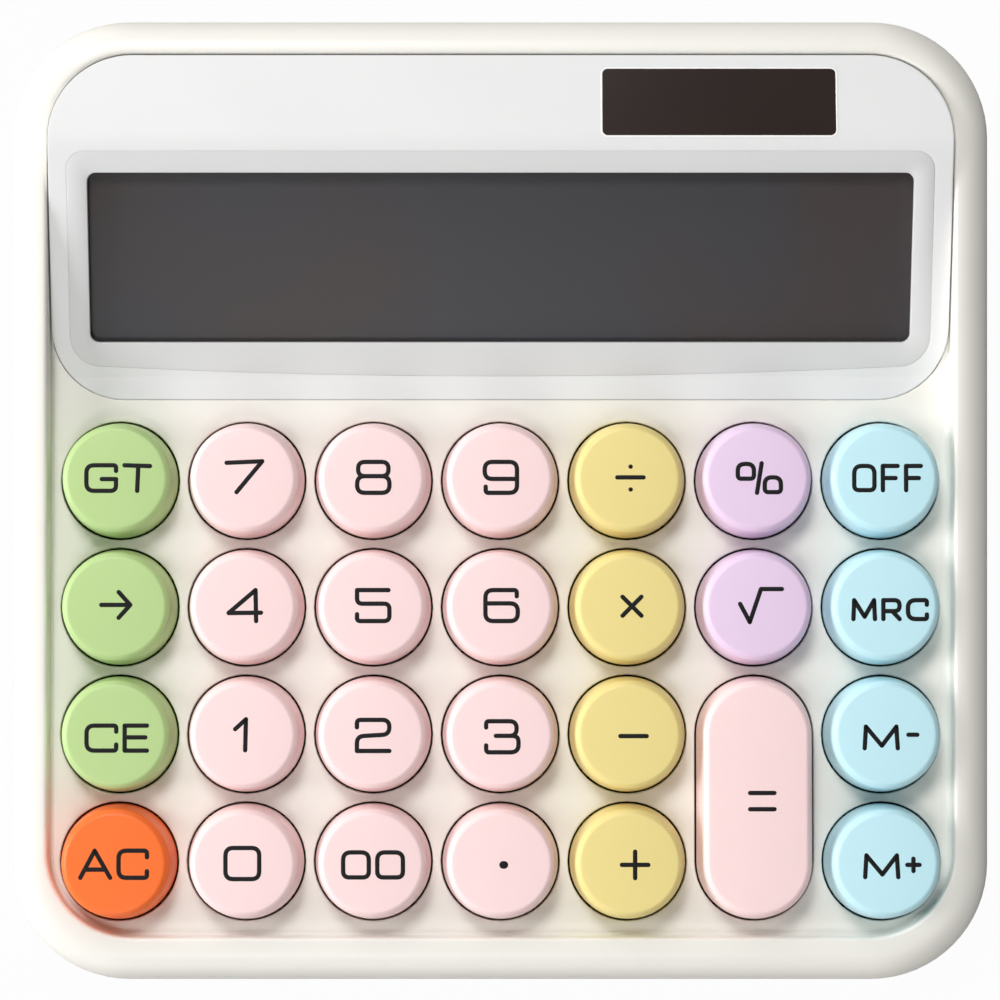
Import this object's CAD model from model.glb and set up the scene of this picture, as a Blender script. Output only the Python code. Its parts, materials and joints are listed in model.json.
import json
import math

import bmesh
import bpy
import numpy as np
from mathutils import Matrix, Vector


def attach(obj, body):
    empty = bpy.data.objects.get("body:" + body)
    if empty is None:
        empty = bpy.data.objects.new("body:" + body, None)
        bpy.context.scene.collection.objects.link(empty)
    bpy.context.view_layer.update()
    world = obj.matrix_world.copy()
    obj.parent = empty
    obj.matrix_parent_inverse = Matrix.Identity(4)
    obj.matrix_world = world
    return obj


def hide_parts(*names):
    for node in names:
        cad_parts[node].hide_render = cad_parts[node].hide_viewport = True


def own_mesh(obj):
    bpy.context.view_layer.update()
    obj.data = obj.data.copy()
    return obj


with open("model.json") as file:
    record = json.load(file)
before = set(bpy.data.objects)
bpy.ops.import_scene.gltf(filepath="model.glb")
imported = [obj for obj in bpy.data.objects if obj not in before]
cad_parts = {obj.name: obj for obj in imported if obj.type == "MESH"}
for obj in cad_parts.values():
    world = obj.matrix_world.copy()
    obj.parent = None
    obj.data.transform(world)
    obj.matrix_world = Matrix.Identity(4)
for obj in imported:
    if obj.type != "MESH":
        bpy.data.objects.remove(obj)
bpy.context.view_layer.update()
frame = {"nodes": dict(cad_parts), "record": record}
print("frame loaded:", len(frame["nodes"]), "nodes")

mm = 0.001

# Each frame is an origin (y, z) in millimetres and a tilt about X
tilts = {"rim": 6.7, "deck": 5.0, "slope": 18.0, "top": 0.0}  # degrees
rimMiddle = {"y": -0.5017, "z": 26.65}
# Places along the rim from its middle: recess's front, keys' middle, slope's foot, panel's back
alongRim = {"recessFront": -65.2, "keys": -25.525, "slopeFoot": 18.8, "panelBack": 66.6}
sinks = {"deck": 3.0, "top": 0.2}  # how far below the rim the deck's front and the panel's top lie


def tiltedFrame(y, z, degrees):
    # an origin with the cosine and sine of its tilt, which every place in it uses
    return {"y": y, "z": z, "cos": math.cos(math.radians(degrees)), "sin": math.sin(math.radians(degrees))}


def onRim(s, n):
    # y and z of a place that is s along the rim's slope from its middle, and n above it
    y = rimFrame["y"] + s * rimFrame["cos"] - n * rimFrame["sin"]
    z = rimFrame["z"] + s * rimFrame["sin"] + n * rimFrame["cos"]
    return y, z


def deckDepth(s):
    # the deck's height above the rim's plane: below zero, and falling evenly toward the back
    steepness = math.tan(math.radians(tilts["rim"] - tilts["deck"]))
    return -sinks["deck"] - steepness * (s - alongRim["recessFront"])


rimFrame = tiltedFrame(rimMiddle["y"], rimMiddle["z"], tilts["rim"])
deckFrame = tiltedFrame(*onRim(alongRim["keys"], deckDepth(alongRim["keys"])), tilts["deck"])
slopeFrame = tiltedFrame(*onRim(alongRim["slopeFoot"], deckDepth(alongRim["slopeFoot"])), tilts["slope"])
topFrame = tiltedFrame(*onRim(alongRim["panelBack"], -sinks["top"]), tilts["top"])


def placed(f, across, along, above):  # a point of a tilted frame in the object's frame, in metres
    across, along, above = np.broadcast_arrays(across, along, above)
    y = f["y"] + along * f["cos"] - above * f["sin"]
    z = f["z"] + along * f["sin"] + above * f["cos"]
    return np.stack([across, y, z], -1) * mm


# Mesh helpers

def gridFaces(rows, columns, closeRows=False, closeColumns=False):
    # a quad between each point and its next row and column, taken round to the first where a way closes
    i = np.arange(rows if closeRows else rows - 1)[:, None]
    j = np.arange(columns if closeColumns else columns - 1)[None, :]
    iNext, jNext = (i + 1) % rows, (j + 1) % columns
    quads = np.stack([i * columns + j, iNext * columns + j, iNext * columns + jNext, i * columns + jNext], -1)
    return quads.reshape(-1, 4)


def newPiece(name, shells, material, body, replaced=(), sharpAngle=35):
    # shells is a list of (points, faces); doubles are merged, then the faces are turned outward
    allPoints = np.concatenate([p.reshape(-1, 3) for p, _ in shells])
    starts = np.cumsum([0] + [p.reshape(-1, 3).shape[0] for p, _ in shells[:-1]])
    allFaces = np.concatenate([f + s for (_, f), s in zip(shells, starts)])
    mesh = bpy.data.meshes.new(name)
    mesh.from_pydata(allPoints.tolist(), [], allFaces.tolist())
    work = bmesh.new()
    work.from_mesh(mesh)
    bmesh.ops.remove_doubles(work, verts=work.verts, dist=2e-7)
    bmesh.ops.recalc_face_normals(work, faces=work.faces)
    work.to_mesh(mesh)
    work.free()
    mesh.shade_smooth()
    mesh.set_sharp_from_angle(angle=math.radians(sharpAngle))
    mesh.materials.append(material)
    piece = bpy.data.objects.new(name, mesh)
    bpy.context.scene.collection.objects.link(piece)
    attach(piece, body)
    if replaced:
        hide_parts(*replaced)
    return piece


def roundedPath(half, y0, y1, rFront, rBack, sideCount, endCount, arcCount):
    # points and inward normals round a rounded rectangle, from the front right corner's arc anticlockwise
    pieces, normals = [], []

    def straight(a, b, count, normal):
        t = (np.arange(count) / count)[:, None]
        pieces.append(np.array(a) * (1 - t) + np.array(b) * t)
        normals.append(np.tile(normal, (count, 1)))

    def corner(cx, cy, r, startDegrees):
        angle = np.radians(startDegrees + 90 * np.arange(arcCount) / arcCount)
        ray = np.stack([np.cos(angle), np.sin(angle)], -1)
        pieces.append(np.array([cx, cy]) + r * ray)
        normals.append(-ray)

    corner(half - rFront, y0 + rFront, rFront, -90)
    straight((half, y0 + rFront), (half, y1 - rBack), sideCount, (-1, 0))
    corner(half - rBack, y1 - rBack, rBack, 0)
    straight((half - rBack, y1), (-half + rBack, y1), endCount, (0, -1))
    corner(-half + rBack, y1 - rBack, rBack, 90)
    straight((-half, y1 - rBack), (-half, y0 + rFront), sideCount, (1, 0))
    corner(-half + rFront, y0 + rFront, rFront, 180)
    straight((-half + rFront, y0), (half - rFront, y0), endCount, (0, 1))
    return np.concatenate(pieces), np.concatenate(normals)


def roundOver(points, radius, steps=4):
    # a closed section with each corner replaced by a short arc-like curve through its two cut points
    points = np.array(points, float)
    rounded = []
    for before, here, after in zip(np.roll(points, 1, 0), points, np.roll(points, -1, 0)):
        toBefore, toAfter = before - here, after - here
        cut = min(radius, 0.45 * np.linalg.norm(toBefore), 0.45 * np.linalg.norm(toAfter))
        a = here + toBefore / np.linalg.norm(toBefore) * cut
        b = here + toAfter / np.linalg.norm(toAfter) * cut
        t = np.linspace(0, 1, steps)[:, None]
        rounded.append((1 - t) ** 2 * a + 2 * t * (1 - t) * here + t**2 * b)
    return np.concatenate(rounded)


# Materials

def linear(rgb):  # a colour given as it looks on a screen, 0 to 255
    c = np.array(rgb, float) / 255
    return (*np.where(c <= 0.04045, c / 12.92, ((c + 0.055) / 1.055) ** 2.4), 1.0)


finishBase = {
    "coatRough": 0.08, "softRadius": (1.0, 0.8, 0.7), "softScale": 0.0012, "cloudDetail": 3.0,
    "rampStart": 0.3, "rampStop": 0.7, "lighten": 0.6, "grain": (2500.0, 0.02), "grainDetail": 2.0,
    "bumpReach": 0.0002, "bevelSamples": 4,
}


def finish(
    name, rgb, rough, grain=None, mottle=0.0, mottleScale=60.0,
    coat=0.0, metal=0.0, edge=0.0, specular=0.5, soft=0.0,
):
    # a moulded or rolled finish: slight mottling of the colour, a fine grain in the bump, softened edges
    material = bpy.data.materials.new(name)
    material.use_nodes = True
    nodes, links = material.node_tree.nodes, material.node_tree.links
    shader = nodes["Principled BSDF"]
    shader.inputs["Roughness"].default_value = rough
    shader.inputs["Metallic"].default_value = metal
    shader.inputs["Specular IOR Level"].default_value = specular
    shader.inputs["Coat Weight"].default_value = coat
    shader.inputs["Coat Roughness"].default_value = finishBase["coatRough"]
    if soft > 0:
        shader.inputs["Subsurface Weight"].default_value = soft
        shader.inputs["Subsurface Radius"].default_value = finishBase["softRadius"]
        shader.inputs["Subsurface Scale"].default_value = finishBase["softScale"]
    coords = nodes.new("ShaderNodeTexCoord")
    base = linear(rgb)
    cloud = nodes.new("ShaderNodeTexNoise")
    cloud.inputs["Scale"].default_value = mottleScale
    cloud.inputs["Detail"].default_value = finishBase["cloudDetail"]
    links.new(coords.outputs["Object"], cloud.inputs["Vector"])
    ramp = nodes.new("ShaderNodeValToRGB")
    ramp.color_ramp.elements[0].position = finishBase["rampStart"]
    ramp.color_ramp.elements[1].position = finishBase["rampStop"]
    ramp.color_ramp.elements[0].color = (*[c * (1 - mottle) for c in base[:3]], 1)
    lighter = 1 + mottle * finishBase["lighten"]
    ramp.color_ramp.elements[1].color = (*[min(1.0, c * lighter) for c in base[:3]], 1)
    links.new(cloud.outputs["Fac"], ramp.inputs["Fac"])
    links.new(ramp.outputs["Color"], shader.inputs["Base Color"])
    grainScale, grainDepth = grain or finishBase["grain"]
    fine = nodes.new("ShaderNodeTexNoise")
    fine.inputs["Scale"].default_value = grainScale
    fine.inputs["Detail"].default_value = finishBase["grainDetail"]
    links.new(coords.outputs["Object"], fine.inputs["Vector"])
    bump = nodes.new("ShaderNodeBump")
    bump.inputs["Strength"].default_value = grainDepth
    bump.inputs["Distance"].default_value = finishBase["bumpReach"]
    links.new(fine.outputs["Fac"], bump.inputs["Height"])
    if edge > 0:
        soften = nodes.new("ShaderNodeBevel")
        soften.samples = finishBase["bevelSamples"]
        soften.inputs["Radius"].default_value = edge
        links.new(soften.outputs["Normal"], bump.inputs["Normal"])
    links.new(bump.outputs["Normal"], shader.inputs["Normal"])
    return material


finishes = {
    "case_white": finish(
        "caseWhite", (240, 238, 231), 0.35, mottle=0.012, edge=0.0003, soft=0.05, specular=0.45,
    ),
    "panel_white": finish(
        "panelWhite", (229, 230, 230), 0.42, mottle=0.012, edge=0.0004, soft=0.05, specular=0.2,
    ),
    "bezel_grey": finish("bezelGrey", (214, 215, 215), 0.42, mottle=0.012, edge=0.0002),
    "lcd_dark": finish("lcdDark", (70, 64, 66), 0.35, mottle=0.05, mottleScale=30.0, edge=0.0001),
    "holder_white": finish("holderWhite", (225, 225, 222), 0.5, mottle=0.02, edge=0.0002),
    "strip_rubber": finish("stripRubber", (70, 70, 72), 0.7, mottle=0.08, mottleScale=400.0),
    "board_green": finish(
        "boardGreen", (40, 92, 62), 0.45, grain=(900.0, 0.12), mottle=0.12, mottleScale=260.0,
    ),
    "resin_black": finish("resinBlack", (24, 24, 26), 0.3, grain=(300.0, 0.2), mottle=0.1),
    "part_plastic": finish("partPlastic", (52, 50, 48), 0.5, mottle=0.15, mottleScale=300.0),
    "ribbon_white": finish("ribbonWhite", (222, 222, 218), 0.5, mottle=0.05, mottleScale=500.0),
    "solar_window_dark": finish(
        "solarWindowDark", (46, 36, 33), 0.12, grain=(500.0, 0.01), mottle=0.1, coat=0.6, edge=0.0001,
    ),
    "solar_cell_dark": finish("solarCellDark", (38, 26, 34), 0.25, mottle=0.2, mottleScale=150.0),
    "wire_red": finish("wireRed", (176, 34, 28), 0.45, mottle=0.06),
    "wire_black": finish("wireBlack", (30, 30, 32), 0.45, mottle=0.1),
    "switch_black": finish("switchBlack", (34, 34, 36), 0.45, mottle=0.1, edge=0.0002),
    "switch_grey": finish("switchGrey", (150, 150, 152), 0.45, mottle=0.04, edge=0.0002),
    "spring_steel": finish(
        "springSteel", (196, 197, 200), 0.25, grain=(1500.0, 0.08), mottle=0.05, metal=1.0,
    ),
    "pin_brass": finish("pinBrass", (214, 178, 96), 0.3, grain=(1500.0, 0.08), mottle=0.08, metal=1.0),
    "screw_steel": finish(
        "screwSteel", (176, 178, 182), 0.32, grain=(1200.0, 0.12), mottle=0.08, metal=1.0, edge=0.0001,
    ),
    "foot_rubber": finish(
        "footRubber", (196, 192, 184), 0.75, grain=(1800.0, 0.3), mottle=0.06, mottleScale=500.0, edge=0.0004,
    ),
    "cell_jacket": finish(
        "cellJacket", (58, 62, 70), 0.28, grain=(200.0, 0.02), mottle=0.06, coat=0.3, edge=0.0002,
    ),
    "contact_steel": finish(
        "contactSteel", (205, 205, 208), 0.22, grain=(1500.0, 0.1), mottle=0.06, metal=1.0,
    ),
    "key_pink": finish("keyPink", (252, 222, 222), 0.42, mottle=0.012, soft=0.08, specular=0.35),
    "key_green": finish("keyGreen", (186, 214, 146), 0.42, mottle=0.014, soft=0.08, specular=0.35),
    "key_orange": finish("keyOrange", (255, 118, 50), 0.42, mottle=0.014, soft=0.08, specular=0.35),
    "key_yellow": finish("keyYellow", (238, 220, 146), 0.42, mottle=0.014, soft=0.08, specular=0.35),
    "key_lilac": finish("keyLilac", (233, 208, 236), 0.42, mottle=0.014, soft=0.08, specular=0.35),
    "key_blue": finish("keyBlue", (198, 238, 248), 0.42, mottle=0.014, soft=0.08, specular=0.35),
}

# The display's glass drifts slowly between a brownish and a bluish dark grey
glassDrift = {"scale": 28.0, "from": (73, 63, 62), "to": (66, 65, 70), "start": 0.36, "stop": 0.64}
lcdNodes, lcdLinks = finishes["lcd_dark"].node_tree.nodes, finishes["lcd_dark"].node_tree.links
drift = lcdNodes.new("ShaderNodeTexNoise")
drift.inputs["Scale"].default_value = glassDrift["scale"]
drift.inputs["Detail"].default_value = 1.0
tint = lcdNodes.new("ShaderNodeValToRGB")
tint.color_ramp.elements[0].position = glassDrift["start"]
tint.color_ramp.elements[1].position = glassDrift["stop"]
tint.color_ramp.elements[0].color = linear(glassDrift["from"])
tint.color_ramp.elements[1].color = linear(glassDrift["to"])
lcdLinks.new(lcdNodes["Texture Coordinate"].outputs["Object"], drift.inputs["Vector"])
lcdLinks.new(drift.outputs["Fac"], tint.inputs["Fac"])
lcdLinks.new(tint.outputs["Color"], lcdNodes["Principled BSDF"].inputs["Base Color"])

# The clear pane lets light through to the display below
clear = finish("windowClear", (60, 62, 64), 0.06, grain=(400.0, 0.01), mottle=0.02)
clear.node_tree.nodes["Principled BSDF"].inputs["Alpha"].default_value = 0.12
clear.surface_render_method = "BLENDED"
finishes["window_clear"] = clear

legendInk = finish(
    "legendInk", (14, 13, 15), 0.55, specular=0.25, grain=(1500.0, 0.05), mottle=0.1, mottleScale=900.0,
)
trimWhite = finish("trimWhite", (248, 248, 246), 0.3, mottle=0.01)

slotOf = {part["node"]: part["material_slot"] for part in frame["record"]["subparts"]}
for nodeName, nodeObject in frame["nodes"].items():
    for i in range(len(nodeObject.material_slots)):
        nodeObject.material_slots[i].material = finishes[slotOf[nodeName]]
print("materials on", len(slotOf), "nodes")

# Case: one closed ring round the deck and panel, and the plate with the key holes
case = {
    "half": 73.15, "back": 71.85, "cornerR": 17.5, "rimRound": 4.3, "rimIn": 4.65, "seamZ": 8.0, "wall": 2.0,
    "recessHalf": 67.65, "recessFront": alongRim["recessFront"], "recessBack": alongRim["panelBack"],
    "recessR": 12.7, "crestR": 0.55, "plateT": 1.9, "seamEdge": 0.25,
    "lap": 0.1, "lapStep": 0.03, "underLap": 0.6, "holeGap": 0.05, "panelGap": 0.1,
    "filletFront": 0.5, "filletRight": 1.3, "filletLeft": 0.35, "filletMost": 9.0,
}
outlineSteps = {"side": 90, "end": 16, "corner": 16}
arcSteps = {"rim": 14, "crest": 7, "fillet": 12, "lip": 4}
cellSteps = 12  # points along one side of a key's cell
keyField = {"pitch": 19.05, "holeR": 8.95, "tallColumn": 5, "tallRow": 2, "lip": 0.22}
panelEdge = {"front": 15.25, "frontR": 10.8, "gap": 0.25}
plateStrip = {"wide": 68.6, "front": -40.9, "cornerReach": 16.7}

columns, rows = np.arange(7), np.arange(4)
keyX = (columns - 3) * keyField["pitch"]
keyV = (1.5 - rows) * keyField["pitch"]


def caseRing():
    # the rim's outline and the recess's outline share one parameter; the section between them goes up the
    # outer wall, over a quarter round, down a small crest and the recess wall, along a hollow fillet to
    # the deck, and back underneath
    c = case
    steps = outlineSteps["side"], outlineSteps["end"], outlineSteps["corner"]
    outer, outerIn = roundedPath(c["half"], -c["back"], c["back"], c["cornerR"], c["cornerR"], *steps)
    inner, innerIn = roundedPath(
        c["recessHalf"], c["recessFront"], c["recessBack"], c["recessR"], c["recessR"], *steps,
    )
    deckAt = deckDepth(inner[:, 1])
    # The fillet keeps clear of the key holes and dies out beside the panel's rounded front corner
    holes = np.array([placed(deckFrame, x, v, 0) for x in keyX for v in keyV]) / mm
    places = placed(rimFrame, inner[:, 0], inner[:, 1], deckAt) / mm
    toHole = np.linalg.norm(places[:, None] - holes[None], axis=-1).min(1) - keyField["holeR"] - c["holeGap"]
    side = np.where(inner[:, 0] > 0, c["filletRight"], c["filletLeft"])
    fillet = side + (c["filletFront"] - side) * np.abs(innerIn[:, 1])
    turn = np.clip((panelEdge["front"] + panelEdge["frontR"] - inner[:, 1]) / panelEdge["frontR"], 0, 1)
    besidePanel = panelEdge["frontR"] * (1 - np.sqrt(1 - turn**2)) + c["panelGap"]
    besidePanel = np.where(inner[:, 1] > panelEdge["front"], besidePanel, c["filletMost"])
    fillet = np.minimum(np.minimum(fillet, toHole), besidePanel)

    def fromOuter(inward, n):
        p = outer + outerIn * inward
        return placed(rimFrame, p[:, 0], p[:, 1], n)

    def fromInner(inward, n):
        p = inner + innerIn * np.asarray(inward)[..., None]
        return placed(rimFrame, p[:, 0], p[:, 1], n)

    def wallPoint(inward, z):
        p = outer + outerIn * inward
        y = p[:, 1] * rimFrame["cos"]
        return np.stack([p[:, 0], y, np.full(len(p), z)], -1) * mm

    e = c["seamEdge"]
    section = [wallPoint(c["wall"], c["seamZ"]), wallPoint(e, c["seamZ"])]
    section += [wallPoint(e * 0.3, c["seamZ"] + e * 0.3), wallPoint(0, c["seamZ"] + e)]
    for a in np.linspace(0, math.pi / 2, arcSteps["rim"]):
        section.append(fromOuter(c["rimIn"] * (1 - math.cos(a)), -c["rimRound"] * (1 - math.sin(a))))
    for a in np.linspace(0, math.pi / 2, arcSteps["crest"]):
        section.append(fromInner(-c["crestR"] * (1 - math.sin(a)), -c["crestR"] * (1 - math.cos(a))))
    for a in np.linspace(0, math.pi / 2, arcSteps["fillet"]):
        section.append(fromInner(fillet * (1 - math.cos(a)), deckAt + fillet * (1 - math.sin(a))))
    section.append(fromInner(fillet + c["lap"], deckAt - c["lapStep"]))
    section.append(fromInner(fillet + c["lap"], deckAt - c["plateT"]))
    under = deckDepth(outer[:, 1]) - c["plateT"]
    section.append(fromOuter(c["wall"] + c["underLap"], under))
    points = np.stack(section, 1)
    return points, gridFaces(*points.shape[:2], closeRows=True, closeColumns=True)


def squareAndRing(tall):
    # border points of a key's cell and the hole's points in the same directions; a tall key has two cells
    count, half, r = cellSteps, keyField["pitch"] / 2, keyField["holeR"]
    step = np.arange(count) / count * 2 - 1
    upper = np.concatenate([
        np.stack([np.ones(count // 2), step[count // 2:]], -1),
        np.stack([-step, np.ones(count)], -1),
        np.stack([-np.ones(count // 2), -step[:count // 2]], -1),
    ]) * half
    upper = np.concatenate([upper, [[-half, 0.0]]])
    lower = -upper
    ray = upper / np.linalg.norm(upper, axis=1)[:, None] * r
    if not tall:
        return np.concatenate([upper[:-1], lower[:-1]]), np.concatenate([ray[:-1], -ray[:-1]])
    down = np.array([0, -keyField["pitch"]])
    drop = -np.arange(1, count)[:, None] / count * keyField["pitch"]
    left = np.concatenate([np.full((count - 1, 1), -1.0), drop], 1)
    right = np.concatenate([np.full((count - 1, 1), 1.0), drop[::-1]], 1)
    border = [upper, left * [half, 1], lower + down, right * [half, 1]]
    ring = [ray, left * [r, 1], -ray + down, right * [r, 1]]
    return np.concatenate(border), np.concatenate(ring)


def keyPlate():
    # each cell is a sheet from its square border to its round hole, through the hole and back underneath;
    # a strip from the cells' outer border to the recess closes the plate
    shells = []
    t, lip = case["plateT"], keyField["lip"]
    for r, v in enumerate(keyV):
        for c, x in enumerate(keyX):
            isTall = c == keyField["tallColumn"] and r == keyField["tallRow"]
            if c == keyField["tallColumn"] and r == keyField["tallRow"] + 1:
                continue
            border, hole = squareAndRing(isTall)
            centre = np.array([x, v])
            lowest = -keyField["pitch"] if isTall else 0
            middle = np.stack([np.zeros(len(hole)), np.clip(hole[:, 1], lowest, 0)], -1)
            out = (hole - middle) / np.linalg.norm(hole - middle, axis=1)[:, None]
            rings = [(border, 0.0), (hole + out * lip, 0.0)]
            for a in np.linspace(0.3, math.pi / 2, arcSteps["lip"]):
                rings.append((hole + out * lip * (1 - math.sin(a)), -lip * (1 - math.cos(a))))
            rings += [(hole, -t), (border, -t)]
            points = np.stack([placed(deckFrame, *(p + centre).T, w) for p, w in rings], 1)
            shells.append((points, gridFaces(*points.shape[:2], closeRows=True)))
    # The strip's inner border has the cells' own points
    stepsX, stepsV = len(keyX) * cellSteps, len(keyV) * cellSteps
    halfX, halfV = len(keyX) / 2 * keyField["pitch"], len(keyV) / 2 * keyField["pitch"]
    alongX = np.linspace(-halfX, halfX, stepsX + 1)[:-1]
    alongV = np.linspace(-halfV, halfV, stepsV + 1)[:-1]
    innerPath = np.concatenate([
        np.stack([alongX, np.full_like(alongX, -halfV)], -1),
        np.stack([np.full_like(alongV, halfX), alongV], -1),
        np.stack([-alongX, np.full_like(alongX, halfV)], -1),
        np.stack([np.full_like(alongV, -halfX), -alongV], -1),
    ])
    # The outer border goes under the ring at three sides and round the panel's front corners at the back
    wide, front = plateStrip["wide"], plateStrip["front"]
    r, edgeHalf = panelEdge["frontR"] + panelEdge["gap"], case["recessHalf"]
    frontV = (panelEdge["front"] - alongRim["keys"]) * math.cos(math.radians(tilts["rim"] - tilts["deck"]))
    cornerV = frontV + r
    share = np.linspace(0, 1, stepsX + 1)[:-1]
    length = [r * math.pi / 2, 2 * (edgeHalf - r), r * math.pi / 2]
    travel = share * sum(length)
    angle = np.clip(travel, 0, length[0]) / r
    backX = (edgeHalf - r) + r * np.cos(angle)
    backV = cornerV - r * np.sin(angle)
    backX = backX - np.clip(travel - length[0], 0, length[1])
    angleTwo = np.clip(travel - length[0] - length[1], 0, length[2]) / r
    backX, backV = backX - r * np.sin(angleTwo), backV + r * (1 - np.cos(angleTwo))
    sideV = np.linspace(front, cornerV, stepsV + 1)[:-1]
    outerPath = np.concatenate([
        np.stack([alongX / halfX * wide, np.full_like(alongX, front)], -1),
        np.stack([np.full_like(sideV, wide), sideV], -1),
        np.stack([backX, backV], -1),
        np.stack([np.full_like(sideV, -wide), sideV[::-1] + (cornerV - front) / stepsV], -1),
    ])
    outerPath[len(alongX) + len(sideV)] = (wide, cornerV)
    # Its front corners are drawn in so that they stay inside the case's own rounded corners
    flip = np.where(outerPath[:, :1] < 0, [[-1, -1]], [[1, -1]])
    cornerMiddle = np.array([
        edgeHalf - case["recessR"], alongRim["keys"] - case["recessFront"] - case["recessR"],
    ])
    off = outerPath * flip - cornerMiddle
    reach = np.maximum(np.linalg.norm(off, axis=1) / plateStrip["cornerReach"], 1)[:, None]
    outerPath = np.where((off > 0).all(1)[:, None], (cornerMiddle + off / reach) * flip, outerPath)
    sections = [(innerPath, 0.0), (outerPath, 0.0), (outerPath, -t), (innerPath, -t)]
    points = np.stack([placed(deckFrame, *p.T, w) for p, w in sections], 1)
    shells.append((points, gridFaces(*points.shape[:2], closeRows=True)))
    return shells


newPiece("caseTop", [caseRing()] + keyPlate(), finishes["case_white"], "case", ["top_case"])
print("case ring and key plate made")

# Keys: a round or drawn-out cap carried round its own centre line, with its stem
capSize = {
    "r": 8.65, "skirt": 1.1, "height": 6.5, "taper": 0.6,
    "bevel": 0.7, "wall": 1.2, "ceiling": 4.8, "round": 0.32,
}
stemSize = {
    "bottom": -6.5, "hollowR": 2.8, "roof": -1.5, "flangeR": 4.4, "flangeT": 0.6,
    "r": 3.5, "shoulder": 1.0, "bossR": 3.2, "press": 0.4,
}
keyTravel = 2.5


def carried(section, length, arcCount=36, straightCount=8):
    # section (r, w) carried round a centre line of the given length that runs toward the front:
    # each point is the line's nearest point plus r along the outward direction
    half = np.linspace(0, math.pi, arcCount + 1)
    fall = np.linspace(0, -length, straightCount + 1)[1:-1] if length else np.array([])
    angle = np.concatenate([half, np.full(len(fall), math.pi), half + math.pi, np.zeros(len(fall))])
    base = np.concatenate([np.zeros(len(half)), fall, np.full(len(half), -length), fall[::-1]])
    r, w = section[:, 0], section[:, 1]
    x = np.cos(angle)[:, None] * r
    v = base[:, None] + np.sin(angle)[:, None] * r
    return x, v, np.broadcast_to(w, x.shape)


def capSection():
    # the cap's wall from the axis to the rim and back: straight lines whose corners are rounded over
    s = capSize
    shoulder = s["r"] - s["taper"]
    outline = [
        (s["r"], -s["skirt"]), (s["r"], 0),
        (shoulder, s["height"] - s["bevel"]), (shoulder - s["bevel"], s["height"]),
        (0, s["height"]), (0, s["ceiling"]), (shoulder - s["wall"], s["ceiling"]), (s["r"] - s["wall"], 0),
        (s["r"] - s["wall"], -s["skirt"]),
    ]
    rounded = roundOver(outline, s["round"], 5)
    # The first four corners are the outside and the last three the inside; the two between lie on the axis
    steps = len(rounded) // len(outline)
    outside = rounded[:4 * steps]
    within = rounded[-3 * steps:]
    return np.concatenate([[[0, s["ceiling"]]], within, outside, [[0, s["height"]]]])


def stemSection():
    # the stem's wall from its hollow's roof, down round the flange and up to the boss inside the cap
    s = stemSize
    flangeTop, bossTop = s["bottom"] + s["flangeT"], capSize["ceiling"] + s["press"]
    return np.array([
        (0, s["roof"]), (s["hollowR"], s["roof"]), (s["hollowR"], s["bottom"]), (s["flangeR"], s["bottom"]),
        (s["flangeR"], flangeTop), (s["r"], flangeTop), (s["r"], s["shoulder"]),
        (s["bossR"], s["shoulder"]), (s["bossR"], bossTop), (0, bossTop),
    ])


keyNames = [
    ["gt", "7", "8", "9", "divide", "percent", "off"],
    ["back", "4", "5", "6", "times", "root", "mrc"],
    ["ce", "1", "2", "3", "minus", "equals", "m_minus"],
    ["ac", "0", "00", "point", "plus", None, "m_plus"],
]
for r, rowNames in enumerate(keyNames):
    for c, keyName in enumerate(rowNames):
        if keyName is None:
            continue
        length = keyField["pitch"] if keyName == "equals" else 0
        section = capSection()
        x, v, w = carried(section, length)
        points = placed(deckFrame, x + keyX[c], v + keyV[r], w)
        shells = [(points, gridFaces(*points.shape[:2], closeRows=True))]
        for drop in ([0, length] if length else [0]):
            x, v, w = carried(stemSection(), 0, 24)
            points = placed(deckFrame, x + keyX[c], v + keyV[r] - drop, w)
            shells.append((points, gridFaces(*points.shape[:2], closeRows=True)))
        node = "key_" + keyName
        newPiece("cap_" + keyName, shells, finishes[slotOf[node]], node, [node], 50)
print("key caps made")

# Legends: strokes of even width, printed on the caps
legendStyle = {
    "width": 0.66, "pointWidth": 1.15, "lift": 0.012, "ease": 0.012, "stepUp": 0.004, "sunk": 0.05,
    "cornerR": 1.15, "leastCorner": 0.02, "leastWide": 0.06, "gap": 1.25,
}
strokeSteps = {"corner": 7, "end": 6}

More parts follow.
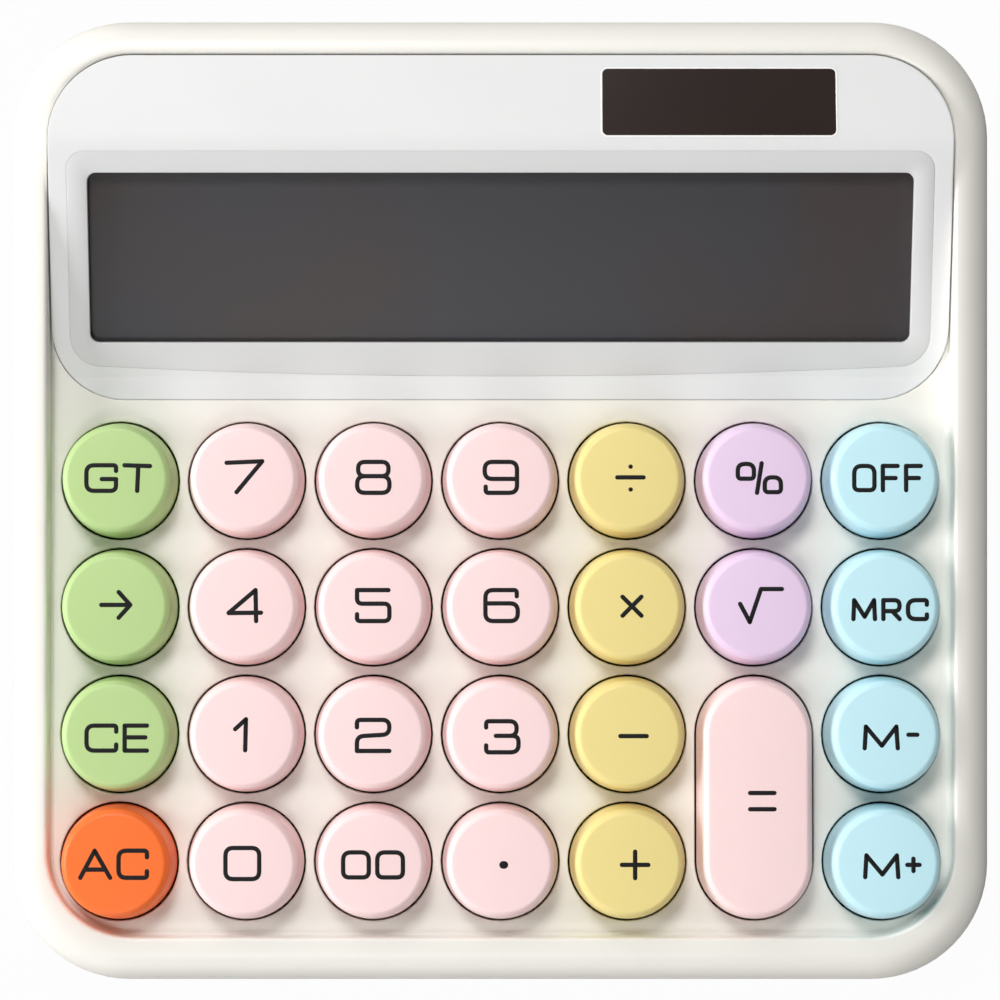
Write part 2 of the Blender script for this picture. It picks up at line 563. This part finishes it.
# Strokes in a unit box, each with how round its corners are and whether it closes
loop = [(0, 0), (0, 1), (1, 1), (1, 0)]
glyphs = {
    "0": [(1, True, loop)],
    "1": [(0, False, [(0, 0.68), (1, 1), (0.93, 0)])],
    "2": [
        (1, False, [(0, 0.76), (0, 1), (1, 1), (1, 0.53), (0, 0.47), (0, 0)]),
        (0, False, [(0, 0), (1, 0)]),
    ],
    "3": [
        (1, False, [(0, 0.8), (0, 1), (0.94, 1), (0.94, 0.53), (0.3, 0.53)]),
        (1, False, [(0.6, 0.53), (1, 0.53), (1, 0), (0, 0), (0, 0.22)]),
    ],
    "4": [(0, False, [(0.85, 0), (0.83, 1), (0, 0.26)]), (0, False, [(0, 0.26), (1, 0.27)])],
    "5": [
        (0.7, False, [(0, 1), (0, 0.56), (1, 0.56), (1, 0), (0, 0), (0, 0.22)]),
        (0, False, [(0, 1), (0.97, 1)]),
    ],
    "6": [
        (1, False, [(0.97, 0.8), (0.97, 1), (0, 1), (0, 0), (0.6, 0)]),
        (1, False, [(0.5, 0), (1, 0), (1, 0.57), (0, 0.57)]),
    ],
    "7": [(0, False, [(0, 0.95), (1, 1), (0.28, 0)])],
    "8": [
        (1, True, [(0.03, 0.54), (0.03, 1), (0.97, 1), (0.97, 0.54)]),
        (1, True, [(0, 0), (0, 0.54), (1, 0.54), (1, 0)]),
    ],
    "9": [
        (1, False, [(0.03, 0.2), (0.03, 0), (1, 0), (1, 1), (0.4, 1)]),
        (1, False, [(0.5, 1), (0, 1), (0, 0.45), (1, 0.45)]),
    ],
    "G": [
        (1, False, [(1, 0.78), (1, 1), (0, 1), (0, 0), (1, 0), (1, 0.45)]),
        (0, False, [(1, 0.46), (0.52, 0.46)]),
    ],
    "T": [(0, False, [(0, 1), (1, 0.97)]), (0, False, [(0.54, 0.98), (0.5, 0)])],
    "C": [(1, False, [(1, 0.76), (1, 1), (0, 1), (0, 0), (1, 0), (1, 0.24)])],
    "E": [(0, False, [(1, 1), (0, 1), (0, 0), (1, 0)]), (0, False, [(0, 0.53), (0.93, 0.53)])],
    "A": [(0, False, [(0, 0), (0.48, 1), (1, 0)]), (0, False, [(0.2, 0.3), (0.82, 0.3)])],
    "O": [(1, True, loop)],
    "F": [(0, False, [(1, 1), (0, 1), (0, 0)]), (0, False, [(0, 0.5), (0.86, 0.5)])],
    "M": [(0, False, [(0, 0), (0.04, 1), (0.52, 0.12), (0.96, 1), (1, 0)])],
    "R": [
        (0, False, [(0, 0), (0, 1)]),
        (1, False, [(0, 1), (1, 1), (1, 0.42), (0, 0.42)]),
        (0, False, [(0.55, 0.42), (1, 0)]),
    ],
    "bar": [(0, False, [(0, 0.5), (1, 0.5)])],
    "plus": [(0, False, [(0, 0.5), (1, 0.5)]), (0, False, [(0.5, 0), (0.5, 1)])],
    "cross": [(0, False, [(0, 0), (1, 1)]), (0, False, [(0, 1), (1, 0)])],
    "arrow": [(0, False, [(0, 0.5), (1, 0.5)]), (0, False, [(0.6, 1), (1, 0.5), (0.6, 0)])],
    "root": [(0, False, [(0, 0.55), (0.23, 0), (0.5, 1), (1, 1)])],
    "slash": [(0, False, [(0, 0), (1, 1)])],
    "dot": [(0, False, [(0.35, 0.5), (0.65, 0.5)])],
}


def sign(glyph, wide, high, across, above):
    # a glyph's box: half its width and height to each side of its middle, given from the key's middle
    return glyph, across - wide / 2, above - high / 2, across + wide / 2, above + high / 2


def word(letters, high, across, above):
    # signs side by side, each one a gap after the last, with the whole row centred on its middle
    boxes = []
    left = across - (sum(wide for _, wide in letters) + legendStyle["gap"] * (len(letters) - 1)) / 2
    for glyph, wide in letters:
        boxes.append(sign(glyph, wide, high, left + wide / 2, above))
        left += wide + legendStyle["gap"]
    return boxes


# Sizes of what is printed, in millimetres
digit = {
    "wide": 4.8, "high": 4.6, "across": 0.1, "above": 0.1,
    "sevenWide": 5.3, "oneWide": 1.6, "noughtWide": 5.0,
}
mark = {"wide": 3.9, "cross": 2.8, "across": 0.4, "dotApart": 3.4, "equalsWide": 3.6, "equalsApart": 2.4}
percent = {
    "ringWide": 2.4, "ringHigh": 2.2, "ringsAcross": 4.0, "ringsApart": 2.0,
    "slashWide": 0.7, "slashHigh": 4.4,
}
memory = {
    "mWide": 4.9, "mHigh": 3.2, "mAcross": -0.8, "above": -0.4, "signAcross": 3.9, "minus": 1.3, "plus": 1.8,
}

legends = {
    name: [sign(name, digit["wide"], digit["high"], digit["across"], digit["above"])]
    for name in "4568"
}
legends.update({
    "7": [sign("7", digit["sevenWide"], digit["high"], 0, 0.2)],
    "9": [sign("9", digit["wide"], digit["high"], 0, digit["above"])],
    "1": [sign("1", digit["oneWide"], digit["high"], -0.5, 0)],
    "2": [sign("2", digit["wide"], digit["high"], digit["across"], -0.1)],
    "3": [sign("3", digit["wide"], digit["high"], 0.2, -0.3)],
    "0": [sign("0", digit["noughtWide"], digit["high"], -0.2, 0)],
    "00": word([("0", 3.8), ("0", 3.8)], 3.7, 0.1, -0.2),
    "gt": word([("G", 4.4), ("T", 3.8)], 3.8, 0.3, 0),
    "ce": word([("C", 4.4), ("E", 3.3)], 3.7, 0.2, -0.5),
    "ac": word([("A", 4.4), ("C", 4.2)], 4.0, -0.2, -0.1),
    "off": word([("O", 3.0), ("F", 2.2), ("F", 2.2)], 3.6, 0.3, 0),
    "mrc": word([("M", 3.2), ("R", 2.4), ("C", 2.8)], 2.8, 0.6, -0.5),
    "back": [sign("arrow", 4.3, 3.8, 0, 0.2)],
    "root": [sign("root", 6.2, 4.9, 0.5, 0.1)],
    "point": [sign("dot", 0.6, 0, 0.4, -0.2)],
    "times": [sign("cross", mark["cross"], mark["cross"], mark["across"], 0)],
    "minus": [sign("bar", mark["wide"], 0, 0.6, -0.2)],
    "plus": [sign("plus", mark["wide"], mark["wide"], 0.8, -0.2)],
    "divide": [sign("bar", mark["wide"], 0, 0.2, 0.1)]
    + [sign("dot", 0, 0, 0.2, side * mark["dotApart"] / 2) for side in (1, -1)],
    "equals": [
        sign("bar", mark["equalsWide"], 0, 0.6, side * mark["equalsApart"] / 2 - 0.3 - keyField["pitch"] / 2)
        for side in (1, -1)
    ],
    "percent": [sign("slash", percent["slashWide"], percent["slashHigh"], 0.3, 0)] + [
        sign(
            "0", percent["ringWide"], percent["ringHigh"],
            0.3 + side * percent["ringsAcross"] / 2, -side * percent["ringsApart"] / 2,
        )
        for side in (-1, 1)
    ],
    "m_minus": [
        sign("M", memory["mWide"], memory["mHigh"], memory["mAcross"], memory["above"]),
        sign("bar", memory["minus"], 0, memory["signAcross"], 0),
    ],
    "m_plus": [
        sign("M", memory["mWide"], memory["mHigh"], memory["mAcross"], memory["above"]),
        sign("plus", memory["plus"], memory["plus"], memory["signAcross"], -0.2),
    ],
})


def strokePath(points, roundness, closed):
    # a polyline with each inner corner turned into an arc-like curve; points that fall together are left out
    points = np.array(points, float)
    if closed:
        start = (points[0] + points[-1]) / 2
        points = np.concatenate([[start], points, [start]])
    curve = [points[:1]]
    for before, here, after in zip(points[:-2], points[1:-1], points[2:]):
        toBefore, toAfter = before - here, after - here
        reach = max(legendStyle["leastCorner"], legendStyle["cornerR"] * roundness)
        cut = min(reach, 0.48 * np.linalg.norm(toBefore), 0.48 * np.linalg.norm(toAfter))
        a = here + toBefore / np.linalg.norm(toBefore) * cut
        b = here + toAfter / np.linalg.norm(toAfter) * cut
        t = np.linspace(0, 1, strokeSteps["corner"])[:, None]
        curve.append((1 - t) ** 2 * a + 2 * t * (1 - t) * here + t**2 * b)
    curve.append(points[-1:])
    curve = np.concatenate(curve)
    return curve[np.concatenate([[True], np.linalg.norm(np.diff(curve, axis=0), axis=1) > 1e-4])]


def strokeShell(path, lift, closed, centre, width):
    # the path widened to both sides along its mitred normals, as a thin closed slab; an open path gets
    # round ends
    half = width / 2
    steps = np.diff(path, axis=0)
    if closed:
        path = path[:-1]
        before = np.roll(steps, 1, 0)
        after = steps
    else:
        before = np.concatenate([steps[:1], steps])
        after = np.concatenate([steps, steps[-1:]])
    before = before / np.linalg.norm(before, axis=1)[:, None]
    after = after / np.linalg.norm(after, axis=1)[:, None]
    along = before + after
    along /= np.linalg.norm(along, axis=1)[:, None]
    mitre = 1 / np.clip((along * after).sum(1), 0.45, 1)
    side = np.stack([-along[:, 1], along[:, 0]], -1)
    reach = half * mitre
    if not closed:
        a = np.linspace(0, math.pi / 2, strokeSteps["end"])
        beyond, narrow = half * np.sin(a)[1:], half * np.cos(a)[1:]
        head = path[0] - along[0] * beyond[::-1][:, None]
        tail = path[-1] + along[-1] * beyond[:, None]
        path = np.concatenate([head, path, tail])
        side = np.concatenate([np.tile(side[0], (len(head), 1)), side, np.tile(side[-1], (len(tail), 1))])
        reach = np.concatenate([narrow[::-1], reach, narrow])
    sunk, shoulder = -legendStyle["sunk"] - lift, lift - legendStyle["ease"]
    section = [(-1, sunk), (-1, shoulder), (-0.9, lift), (0.9, lift), (1, shoulder), (1, sunk)]
    points = np.stack([
        placed(deckFrame, *(path + side * reach[:, None] * u + centre).T, capSize["height"] + w)
        for u, w in section
    ], 1)
    return points, gridFaces(*points.shape[:2], closeRows=closed, closeColumns=True)


for r, rowNames in enumerate(keyNames):
    for c, keyName in enumerate(rowNames):
        if keyName is None or keyName not in legends:
            continue
        shells, lift = [], legendStyle["lift"]
        width = legendStyle["pointWidth"] if keyName == "point" else legendStyle["width"]
        for glyph, left, bottom, right, top in legends[keyName]:
            for roundness, closed, stroke in glyphs[glyph]:
                unit = np.array(stroke, float)
                if glyph == "dot" and keyName == "divide":
                    unit = np.array([(0.4, 0.5), (0.6, 0.5)])
                size = np.array([max(right - left, legendStyle["leastWide"]), top - bottom])
                path = strokePath(np.array([left, bottom]) + unit * size, roundness, closed)
                shells.append(strokeShell(path, lift, closed, np.array([keyX[c], keyV[r]]), width))
                lift += legendStyle["stepUp"]
        newPiece("legend_" + keyName, shells, legendInk, "key_" + keyName, (), 60)
print("legends made")

# Display: the grey surround, and the white edge line of the solar window
trim = {"width": 0.26, "rise": 0.05, "depth": 0.4}
surround = {
    "half": 64.5, "front": 0.15, "back": 33.55, "bow": 1.7, "frontR": 4.5, "backR": 2.6,
    "grow": 0.16, "proud": 0.015, "ease": 0.12, "thickness": 0.95,
}
displayOpening = {"half": 61.65, "front": 5.1, "back": 30.5, "r": 1.35}
solarWindow = {"half": 17.375, "front": -12.5, "back": -2.35, "r": 0.8, "middle": 32.5}
windowSteps = {"side": 12, "end": 48, "corner": 10}


def edgeLine(f, path, outward, width, rise):
    # a thin rounded bead carried along a path, from the path outward
    bead = [(0, -trim["depth"]), (0, rise * 0.4), (0.25, rise)]
    bead += [(0.75, rise), (1, rise * 0.3), (1, -trim["depth"])]
    points = np.stack([placed(f, *(path + outward * u * width).T, w) for u, w in bead], 1)
    return points, gridFaces(*points.shape[:2], closeRows=True, closeColumns=True)


def windowPath(w):
    # a rounded rectangle, moved sideways to the window's middle, with its outward directions
    path, inward = roundedPath(
        w["half"], w["front"], w["back"], w["r"], w["r"],
        windowSteps["side"], windowSteps["end"], windowSteps["corner"],
    )
    return path + [w.get("middle", 0), 0], -inward


def surroundPath():
    # a rounded rectangle whose front edge bows forward as a shallow parabola
    s = surround
    bend = s["bow"] / s["half"] ** 2
    cornerStart = s["front"] + bend * (s["half"] - s["frontR"]) ** 2
    path, inward = roundedPath(
        s["half"], cornerStart, s["back"], s["frontR"], s["backR"],
        windowSteps["side"], windowSteps["end"], windowSteps["corner"],
    )
    straight = path[:, 1] < cornerStart + 1e-6
    path[straight, 1] = s["front"] + bend * path[straight, 0] ** 2
    return path, -inward


def surroundRing():
    # a flat ring from the surround's outline to the opening: both edges eased, a sliver proud of the panel
    path, outward = surroundPath()
    opening, away = windowPath(displayOpening)
    grow, top, ease, t = surround["grow"], surround["proud"], surround["ease"], surround["thickness"]
    sections = [(path + outward * grow, -t), (path + outward * grow, top * 0.3)]
    sections += [(path + outward * (grow - ease * 0.3), top), (opening + away * ease, top)]
    sections += [(opening + away * ease * 0.3, top - ease * 0.3), (opening, top - ease), (opening, -t)]
    points = np.stack([placed(slopeFrame, *p.T, w) for p, w in sections], 1)
    return points, gridFaces(*points.shape[:2], closeRows=True, closeColumns=True)


newPiece("bezel", [surroundRing()], finishes["bezel_grey"], "case", ["display_bezel"])
solarLine = edgeLine(topFrame, *windowPath(solarWindow), trim["width"], trim["rise"])
newPiece("solarEdge", [solarLine], trimWhite, "case")
print("surround and solar edge line made")

# Springs: wire coils under the keys
coil = {"wire": 0.22, "radius": 2.25, "bottom": -9.15, "top": -1.5, "turns": 6.5, "turnSteps": 14, "sides": 6}
coilLength = coil["top"] - coil["bottom"]


def coilShell(x, v):
    # a circle carried up a helix: the angle and the height grow evenly, and both ends narrow to a point
    t = np.linspace(0, 1, int(coil["turns"] * coil["turnSteps"]) + 1)
    angle = 2 * math.pi * coil["turns"] * t
    up = coil["bottom"] + coil["wire"] + (coilLength - 2 * coil["wire"]) * t
    around = np.linspace(0, 2 * math.pi, coil["sides"] + 1)[:-1]
    thin = np.where((t == 0) | (t == 1), 0.0, 1.0)[:, None] * coil["wire"]
    r = coil["radius"] + thin * np.cos(around)
    lift = thin * np.sin(around)
    across, along = np.cos(angle)[:, None] * r, np.sin(angle)[:, None] * r
    points = placed(deckFrame, across + x, along + v, up[:, None] + lift)
    return points, gridFaces(*points.shape[:2], closeColumns=True)


for r, rowNames in enumerate(keyNames):
    for c, keyName in enumerate(rowNames):
        if keyName is None:
            continue
        length = keyField["pitch"] if keyName == "equals" else 0
        shells = [coilShell(keyX[c], keyV[r] - drop) for drop in ([0, length] if length else [0])]
        # The first coil stands in for the whole node of springs
        replaced = ["switch_springs"] if keyName == "gt" else ()
        steel = finishes["spring_steel"]
        piece = newPiece("spring_" + keyName, shells, steel, "case", replaced)
        anchor = Vector(placed(deckFrame, keyX[c], keyV[r], coil["bottom"]))
        left = (coilLength - keyTravel) / coilLength
        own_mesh(piece)
print("springs made")

# Camera, looking square onto the rim's plane
cameraAt = {
    "across": -7.85, "along": -12.66, "height": 481.0,
    "lens": 116.2, "sensor": 36, "shiftX": 0.052, "shiftY": 0.085, "near": 0.01, "far": 20,
}
cameraData = bpy.data.cameras.new("camera")
cameraData.lens = cameraAt["lens"]
cameraData.sensor_width = cameraAt["sensor"]
cameraData.shift_x = cameraAt["shiftX"]
cameraData.shift_y = cameraAt["shiftY"]
cameraData.clip_start = cameraAt["near"]
cameraData.clip_end = cameraAt["far"]
camera = bpy.data.objects.new("camera", cameraData)
camera.location = Vector(placed(rimFrame, cameraAt["across"], cameraAt["along"], cameraAt["height"]))
camera.rotation_euler = (math.radians(tilts["rim"]), 0, 0)
bpy.context.scene.collection.objects.link(camera)
bpy.context.scene.camera = camera

# Floor and light
lights = {
    "left": {
        "at": (-1.15, 0.0, 0.4), "aim": (0, 0, 0.02),
        "size": 0.6, "watts": 12.6, "colour": (1.0, 1.0, 1.0),
    },
    "top": {
        "at": (-0.2, 0.52, 1.15), "aim": (0, 0, 0.02),
        "size": 0.34, "watts": 7.3, "colour": (1.0, 0.995, 0.985),
    },
    "topFront": {
        "at": (-0.08, -0.66, 1.1), "aim": (0, 0, 0.02),
        "size": 0.24, "watts": 2.3, "colour": (1.0, 1.0, 1.0),
    },
    "front": {
        "at": (-0.2, -1.15, 0.5), "aim": (0, 0, 0.02),
        "size": 0.8, "watts": 4.9, "colour": (1.0, 0.99, 0.98),
    },
    "back": {
        "at": (-0.25, 1.05, 0.6), "aim": (0, 0, 0.02),
        "size": 0.7, "watts": 3.0, "colour": (1.0, 0.985, 0.965),
    },
}
worldLight = {"level": 0.07, "colour": (1.0, 0.99, 0.98, 1)}
floorLook = {"reach": 3.0, "colour": (0.45, 0.44, 0.43, 1), "rough": 0.9, "seenWhite": 0.97}


def areaLamp(name, setting):
    # a square lamp at its place, turned to face what it aims at
    data = bpy.data.lights.new(name, "AREA")
    data.shape = "SQUARE"
    data.size = setting["size"]
    data.energy = setting["watts"]
    data.color = setting["colour"]
    lamp = bpy.data.objects.new(name, data)
    lamp.location = setting["at"]
    lamp.rotation_euler = (Vector(setting["aim"]) - Vector(setting["at"])).to_track_quat("-Z", "Y").to_euler()
    bpy.context.scene.collection.objects.link(lamp)


for lightName, setting in lights.items():
    areaLamp("light_" + lightName, setting)

world = bpy.data.worlds.new("studio")
bpy.context.scene.world = world
world.use_nodes = True
worldNodes, worldLinks = world.node_tree.nodes, world.node_tree.links
worldNodes["Background"].inputs["Color"].default_value = worldLight["colour"]
worldNodes["Background"].inputs["Strength"].default_value = worldLight["level"]
seen = worldNodes.new("ShaderNodeBackground")
seen.inputs["Strength"].default_value = 1.0
seen.inputs["Color"].default_value = (1, 1, 1, 1)
path = worldNodes.new("ShaderNodeLightPath")
either = worldNodes.new("ShaderNodeMixShader")
worldLinks.new(path.outputs["Is Camera Ray"], either.inputs["Fac"])
worldLinks.new(worldNodes["Background"].outputs["Background"], either.inputs[1])
worldLinks.new(seen.outputs["Background"], either.inputs[2])
worldLinks.new(either.outputs["Shader"], worldNodes["World Output"].inputs["Surface"])

floorMesh = bpy.data.meshes.new("floor")
floorR = floorLook["reach"]
floorCorners = [(-floorR, -floorR, 0), (floorR, -floorR, 0), (floorR, floorR, 0), (-floorR, floorR, 0)]
floorMesh.from_pydata(floorCorners, [], [(0, 1, 2, 3)])
floor = bpy.data.objects.new("floor", floorMesh)
bpy.context.scene.collection.objects.link(floor)
paper = bpy.data.materials.new("floorPaper")
paper.use_nodes = True
paperNodes, paperLinks = paper.node_tree.nodes, paper.node_tree.links
paperShader = paperNodes["Principled BSDF"]
paperShader.inputs["Base Color"].default_value = floorLook["colour"]
paperShader.inputs["Roughness"].default_value = floorLook["rough"]
glow = paperNodes.new("ShaderNodeEmission")
glow.inputs["Strength"].default_value = 1.0
paperPath = paperNodes.new("ShaderNodeLightPath")
shown = paperNodes.new("ShaderNodeMath")
shown.operation = "MULTIPLY"
shown.inputs[1].default_value = floorLook["seenWhite"]
paperMix = paperNodes.new("ShaderNodeMixShader")
paperLinks.new(paperPath.outputs["Is Camera Ray"], shown.inputs[0])
paperLinks.new(shown.outputs["Value"], paperMix.inputs["Fac"])
paperLinks.new(paperShader.outputs["BSDF"], paperMix.inputs[1])
paperLinks.new(glow.outputs["Emission"], paperMix.inputs[2])
# From below the floor is clear, so that the underside can be looked at
clearPaper = paperNodes.new("ShaderNodeBsdfTransparent")
paperSide = paperNodes.new("ShaderNodeNewGeometry")
sided = paperNodes.new("ShaderNodeMixShader")
paperLinks.new(paperSide.outputs["Backfacing"], sided.inputs["Fac"])
paperLinks.new(paperMix.outputs["Shader"], sided.inputs[1])
paperLinks.new(clearPaper.outputs["BSDF"], sided.inputs[2])
paperLinks.new(sided.outputs["Shader"], paperNodes["Material Output"].inputs["Surface"])
floorMesh.materials.append(paper)

bpy.context.scene.view_settings.view_transform = "Standard"
print("camera, floor and light set")
